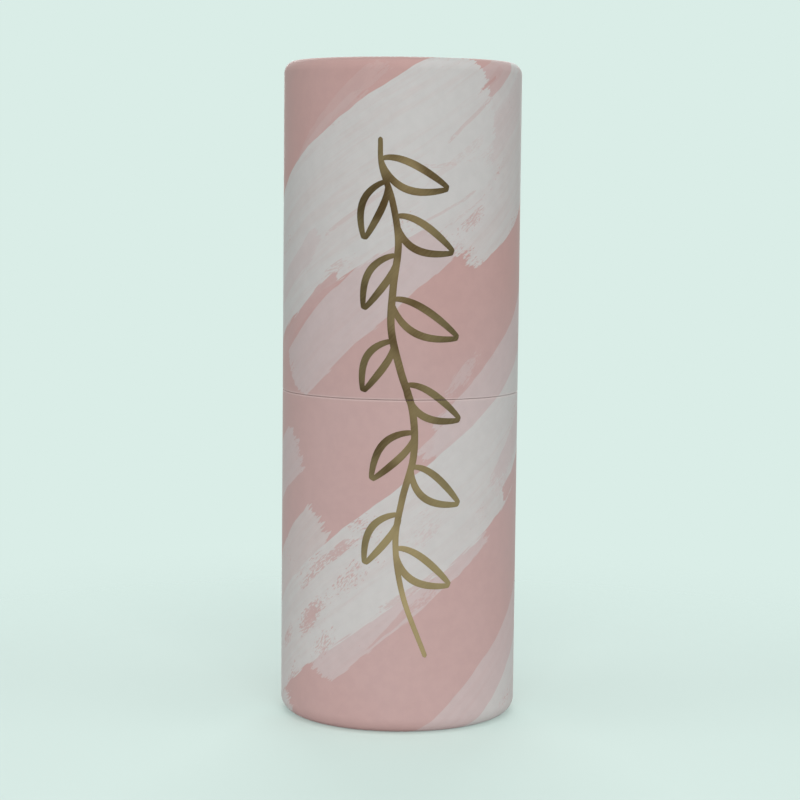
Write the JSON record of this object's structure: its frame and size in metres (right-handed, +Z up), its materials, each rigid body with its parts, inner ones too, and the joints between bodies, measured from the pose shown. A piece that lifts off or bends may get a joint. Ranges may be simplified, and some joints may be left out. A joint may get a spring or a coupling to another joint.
{
  "type": "cylindrical gift tube box",
  "caption": "Tall round paperboard gift box with a lift-off lid that meets the base at mid height over an inner neck, rolled ends and a brush-stroke print.",
  "frame": {"origin": "centre of the base's foot ring, on the surface the box stands on", "axes": "+Z up along the tube's axis, towards the lid's top; -Y is the front of the print"},
  "size_m": [0.078, 0.078, 0.215],
  "materials": {
    "printed_paper": "matte",
    "greyboard": "matte",
    "liner_paper": "matte",
    "neck_paper": "matte",
    "gold_foil": "satin"
  },
  "bodies": {
    "base": {"base_core_tube": "greyboard", "base_rolled_rim": "printed_paper", "base_printed_wrap": "printed_paper", "base_inner_liner": "liner_paper", "base_end_disc": "greyboard", "base_bottom_paper": "printed_paper", "base_floor_paper": "liner_paper", "neck_core_tube": "greyboard", "neck_outer_wrap": "neck_paper", "neck_inner_liner": "liner_paper"},
    "lid_carrier": {"lid_end_disc": "greyboard"},
    "lid": {"lid_core_tube": "greyboard", "lid_rolled_rim": "printed_paper", "lid_printed_wrap": "printed_paper", "lid_inner_liner": "liner_paper", "lid_top_paper": "printed_paper", "lid_ceiling_paper": "liner_paper"}
  },
  "joints": [
    {"name": "lid_lift", "type": "slide", "parent": "base", "child": "lid_carrier", "axis": [0, 0, 1], "range_m": [0, 0.08]},
    {"name": "lid_turn", "type": "hinge", "parent": "lid_carrier", "child": "lid", "pos_m": [0, 0, 0.21], "axis": [0, 0, 1], "continuous": true}
  ]
}
